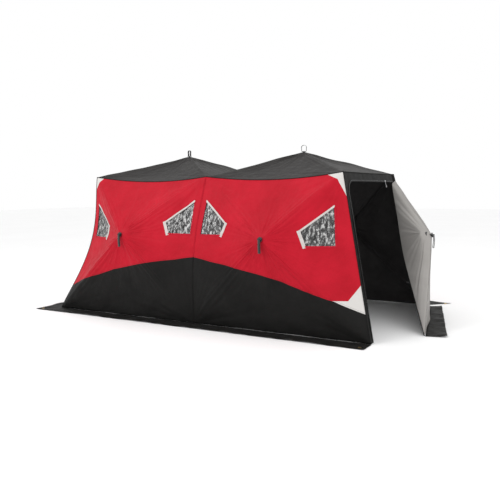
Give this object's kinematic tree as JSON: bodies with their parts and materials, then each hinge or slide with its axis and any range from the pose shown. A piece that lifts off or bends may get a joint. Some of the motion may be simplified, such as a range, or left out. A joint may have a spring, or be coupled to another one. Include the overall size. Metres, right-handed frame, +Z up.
{
  "type": "ice fishing shelter",
  "caption": "Two-bay pop-up hub shelter with sprung hubs, quilted skin, clear windows, flat snow skirt and a wide end door folded back.",
  "frame": {"origin": "on the floor, under the snow skirt, in the middle of the footprint", "axes": "+X along the length, towards the door end; the front long wall faces -Y; +Z up"},
  "size_m": [5.3245, 2.92, 2.1336],
  "materials": {
    "red_fabric": "coated quilted polyester, red above and black below",
    "black_fabric": "coated quilted polyester, black",
    "grey_fabric": "coated quilted polyester, grey",
    "trim_fabric": "light grey trim tape",
    "clear_vinyl": "clear flexible vinyl",
    "webbing": "woven polyester webbing",
    "zipper": "coil zipper on tape",
    "zip_metal": "cast slider",
    "fibreglass": "solid fibreglass rod with steel ferrule",
    "hub_plastic": "moulded nylon",
    "brass": "rolled eyelet"
  },
  "bodies": {
    "shelter": {"front_left_wall": "red_fabric", "front_right_wall": "red_fabric", "back_left_wall": "red_fabric", "back_right_wall": "red_fabric", "left_end_wall": "red_fabric", "door_frame": "black_fabric", "door_zipper": "zipper", "roof_left": "black_fabric", "roof_right": "black_fabric", "snow_skirt": "black_fabric", "anchor_patches": "black_fabric", "anchor_eyelets": "brass", "front_windows": "clear_vinyl", "back_windows": "clear_vinyl", "window_trims": "trim_fabric", "top_corner_brackets": "hub_plastic", "bottom_corner_brackets": "hub_plastic", "front_left_poles": "fibreglass", "front_right_poles": "fibreglass", "back_left_poles": "fibreglass", "back_right_poles": "fibreglass", "left_end_poles": "fibreglass", "roof_left_poles": "fibreglass", "roof_right_poles": "fibreglass"},
    "front_left": {"front_left_hub": "hub_plastic", "front_left_patch": "red_fabric"},
    "front_right": {"front_right_hub": "hub_plastic", "front_right_patch": "red_fabric"},
    "back_left": {"back_left_hub": "hub_plastic", "back_left_patch": "red_fabric"},
    "back_right": {"back_right_hub": "hub_plastic", "back_right_patch": "red_fabric"},
    "left_end": {"left_end_hub": "hub_plastic", "left_end_patch": "red_fabric"},
    "roof_left": {"roof_left_hub": "hub_plastic", "roof_left_patch": "black_fabric", "roof_left_strap": "webbing"},
    "roof_right": {"roof_right_hub": "hub_plastic", "roof_right_patch": "black_fabric", "roof_right_strap": "webbing"},
    "door_wing": {"door_flap": "grey_fabric", "door_flap_skirt": "black_fabric", "door_poles": "fibreglass", "door_stowed_poles": "fibreglass", "right_end_hub": "hub_plastic", "door_tie_back": "webbing"},
    "zip_slider": {"zip_slider": "zip_metal"},
    "front_left_strap": {"front_left_strap": "webbing"},
    "front_right_strap": {"front_right_strap": "webbing"},
    "back_left_strap": {"back_left_strap": "webbing"},
    "back_right_strap": {"back_right_strap": "webbing"},
    "left_end_strap": {"left_end_strap": "webbing"},
    "right_end_strap": {"right_end_strap": "webbing"}
  },
  "joints": [
    {"name": "front_left_hub_pop", "type": "slide", "parent": "shelter", "child": "front_left", "axis": [0, 0.9844, -0.1757], "range_m": [0, 0.68], "deforming": ["front_left_poles"]},
    {"name": "front_right_hub_pop", "type": "slide", "parent": "shelter", "child": "front_right", "axis": [0, 0.9844, -0.1757], "range_m": [0, 0.68], "deforming": ["front_right_poles"]},
    {"name": "back_left_hub_pop", "type": "slide", "parent": "shelter", "child": "back_left", "axis": [0, -0.9844, -0.1757], "range_m": [0, 0.68], "deforming": ["back_left_poles"]},
    {"name": "back_right_hub_pop", "type": "slide", "parent": "shelter", "child": "back_right", "axis": [0, -0.9844, -0.1757], "range_m": [0, 0.68], "deforming": ["back_right_poles"]},
    {"name": "left_end_hub_pop", "type": "slide", "parent": "shelter", "child": "left_end", "axis": [0.9716, 0, -0.2367], "range_m": [0, 1], "deforming": ["left_end_poles"]},
    {"name": "roof_left_hub_pop", "type": "slide", "parent": "shelter", "child": "roof_left", "axis": [0, 0, -1], "range_m": [0, 0.56], "deforming": ["roof_left_poles"]},
    {"name": "roof_right_hub_pop", "type": "slide", "parent": "shelter", "child": "roof_right", "axis": [0, 0, -1], "range_m": [0, 0.56], "deforming": ["roof_right_poles"]},
    {"name": "door_hinge", "type": "hinge", "parent": "shelter", "child": "door_wing", "pos_m": [1.712, 0.862, 1.705], "axis": [-0.2379, -0.1744, 0.9555], "range_deg": [0, 25]},
    {"name": "zip_slide", "type": "slide", "parent": "shelter", "child": "zip_slider", "axis": [0, 1, 0], "range_m": [-1.08, 0.24]},
    {"name": "front_left_strap_swing", "type": "hinge", "parent": "front_left", "child": "front_left_strap", "pos_m": [-0.9875, -1.38324, 1.04851], "axis": [-1, 0, 0], "range_deg": [0, 110]},
    {"name": "front_right_strap_swing", "type": "hinge", "parent": "front_right", "child": "front_right_strap", "pos_m": [0.9875, -1.38324, 1.04851], "axis": [-1, 0, 0], "range_deg": [0, 110]},
    {"name": "back_left_strap_swing", "type": "hinge", "parent": "back_left", "child": "back_left_strap", "pos_m": [-0.9875, 1.38324, 1.04851], "axis": [1, 0, 0], "range_deg": [0, 110]},
    {"name": "back_right_strap_swing", "type": "hinge", "parent": "back_right", "child": "back_right_strap", "pos_m": [0.9875, 1.38324, 1.04851], "axis": [1, 0, 0], "range_deg": [0, 110]},
    {"name": "left_end_strap_swing", "type": "hinge", "parent": "left_end", "child": "left_end_strap", "pos_m": [-2.51064, 0, 1.04973], "axis": [0, 1, 0], "range_deg": [0, 110]},
    {"name": "right_end_strap_swing", "type": "hinge", "parent": "door_wing", "child": "right_end_strap", "pos_m": [2.51064, 0, 1.04973], "axis": [0, -1, 0], "range_deg": [0, 110]}
  ]
}
